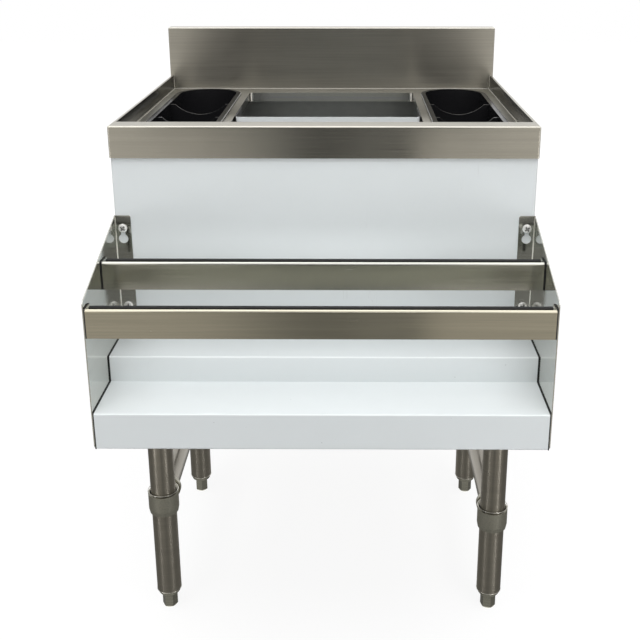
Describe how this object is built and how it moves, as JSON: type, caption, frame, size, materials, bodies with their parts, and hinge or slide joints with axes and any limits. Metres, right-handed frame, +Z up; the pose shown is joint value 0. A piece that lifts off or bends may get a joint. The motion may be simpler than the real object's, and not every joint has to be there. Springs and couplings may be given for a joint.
{
  "type": "ice bin",
  "caption": "Free-standing stainless underbar ice bin on tubular legs, with drop-in bottle wells, a lift-out ice divider, a backsplash and a stepped lift-off bottle rail.",
  "frame": {"origin": "on the floor, under the middle of the whole object's box", "axes": "+X runs along the bar to the right as the bartender faces it, +Y from the bartender to the backsplash, +Z up"},
  "size_m": [0.61, 0.728, 0.949],
  "materials": {
    "brushed_steel": "satin",
    "polished_steel": "polished",
    "white_satin_steel": "satin",
    "plain_steel": "matte",
    "liner_steel": "satin",
    "foam": "matte",
    "drain_steel": "satin",
    "drain_brass": "satin",
    "bright_steel": "polished",
    "black_plastic": "gloss",
    "black_rubber": "matte",
    "leg_steel": "satin",
    "socket_steel": "satin",
    "cast_grey": "matte",
    "foot_steel": "satin"
  },
  "bodies": {
    "cabinet": {"top_deck": "brushed_steel", "backsplash": "brushed_steel", "front_panel": "white_satin_steel", "left_side_panel": "plain_steel", "right_side_panel": "plain_steel", "back_panel": "plain_steel", "bottom_panel": "plain_steel", "left_mount_strip": "plain_steel", "right_mount_strip": "plain_steel", "ice_liner": "liner_steel", "foam_insulation": "foam", "drain_flange": "drain_steel", "drain_strainer": "drain_steel", "drain_locknut": "drain_brass", "rail_screws": "bright_steel", "leg_set_screws": "bright_steel", "front_left_leg": "leg_steel", "front_right_leg": "leg_steel", "rear_left_leg": "leg_steel", "rear_right_leg": "leg_steel", "left_brace": "leg_steel", "right_brace": "leg_steel", "front_left_leg_socket": "socket_steel", "front_right_leg_socket": "socket_steel", "rear_left_leg_socket": "socket_steel", "rear_right_leg_socket": "socket_steel", "front_left_collar": "cast_grey", "front_right_collar": "cast_grey", "rear_left_collar": "cast_grey", "rear_right_collar": "cast_grey", "front_left_leg_insert": "foot_steel", "front_right_leg_insert": "foot_steel", "rear_left_leg_insert": "foot_steel", "rear_right_leg_insert": "foot_steel"},
    "speed_rail": {"left_rail_bracket": "polished_steel", "right_rail_bracket": "polished_steel", "front_bar": "brushed_steel", "mid_bar": "brushed_steel", "front_bar_bumper": "black_rubber", "mid_bar_bumper": "black_rubber", "lower_shelf": "white_satin_steel", "upper_shelf": "white_satin_steel", "left_rail_seals": "black_rubber", "right_rail_seals": "black_rubber", "bar_rivets": "bright_steel"},
    "left_well": {"left_bottle_well": "black_plastic", "left_well_partitions": "black_plastic"},
    "right_well": {"right_bottle_well": "black_plastic", "right_well_partitions": "black_plastic"},
    "divider": {"ice_divider": "white_satin_steel"},
    "front_left_foot_screw": {"front_left_foot": "foot_steel"},
    "front_right_foot_screw": {"front_right_foot": "foot_steel"},
    "rear_left_foot_screw": {"rear_left_foot": "foot_steel"},
    "rear_right_foot_screw": {"rear_right_foot": "foot_steel"}
  },
  "joints": [
    {"name": "rail_lift", "type": "slide", "parent": "cabinet", "child": "speed_rail", "axis": [0, 0, 1], "range_m": [0, 0.016]},
    {"name": "left_well_lift", "type": "slide", "parent": "cabinet", "child": "left_well", "axis": [0, 0, 1], "range_m": [0, 0.215]},
    {"name": "right_well_lift", "type": "slide", "parent": "cabinet", "child": "right_well", "axis": [0, 0, 1], "range_m": [0, 0.215]},
    {"name": "divider_lift", "type": "slide", "parent": "cabinet", "child": "divider", "axis": [0, 0, 1], "range_m": [0, 0.3]},
    {"name": "front_left_foot_adjust", "type": "slide", "parent": "cabinet", "child": "front_left_foot_screw", "axis": [0, 0, -1], "range_m": [0, 0.025]},
    {"name": "front_right_foot_adjust", "type": "slide", "parent": "cabinet", "child": "front_right_foot_screw", "axis": [0, 0, -1], "range_m": [0, 0.025]},
    {"name": "rear_left_foot_adjust", "type": "slide", "parent": "cabinet", "child": "rear_left_foot_screw", "axis": [0, 0, -1], "range_m": [0, 0.025]},
    {"name": "rear_right_foot_adjust", "type": "slide", "parent": "cabinet", "child": "rear_right_foot_screw", "axis": [0, 0, -1], "range_m": [0, 0.025]}
  ]
}
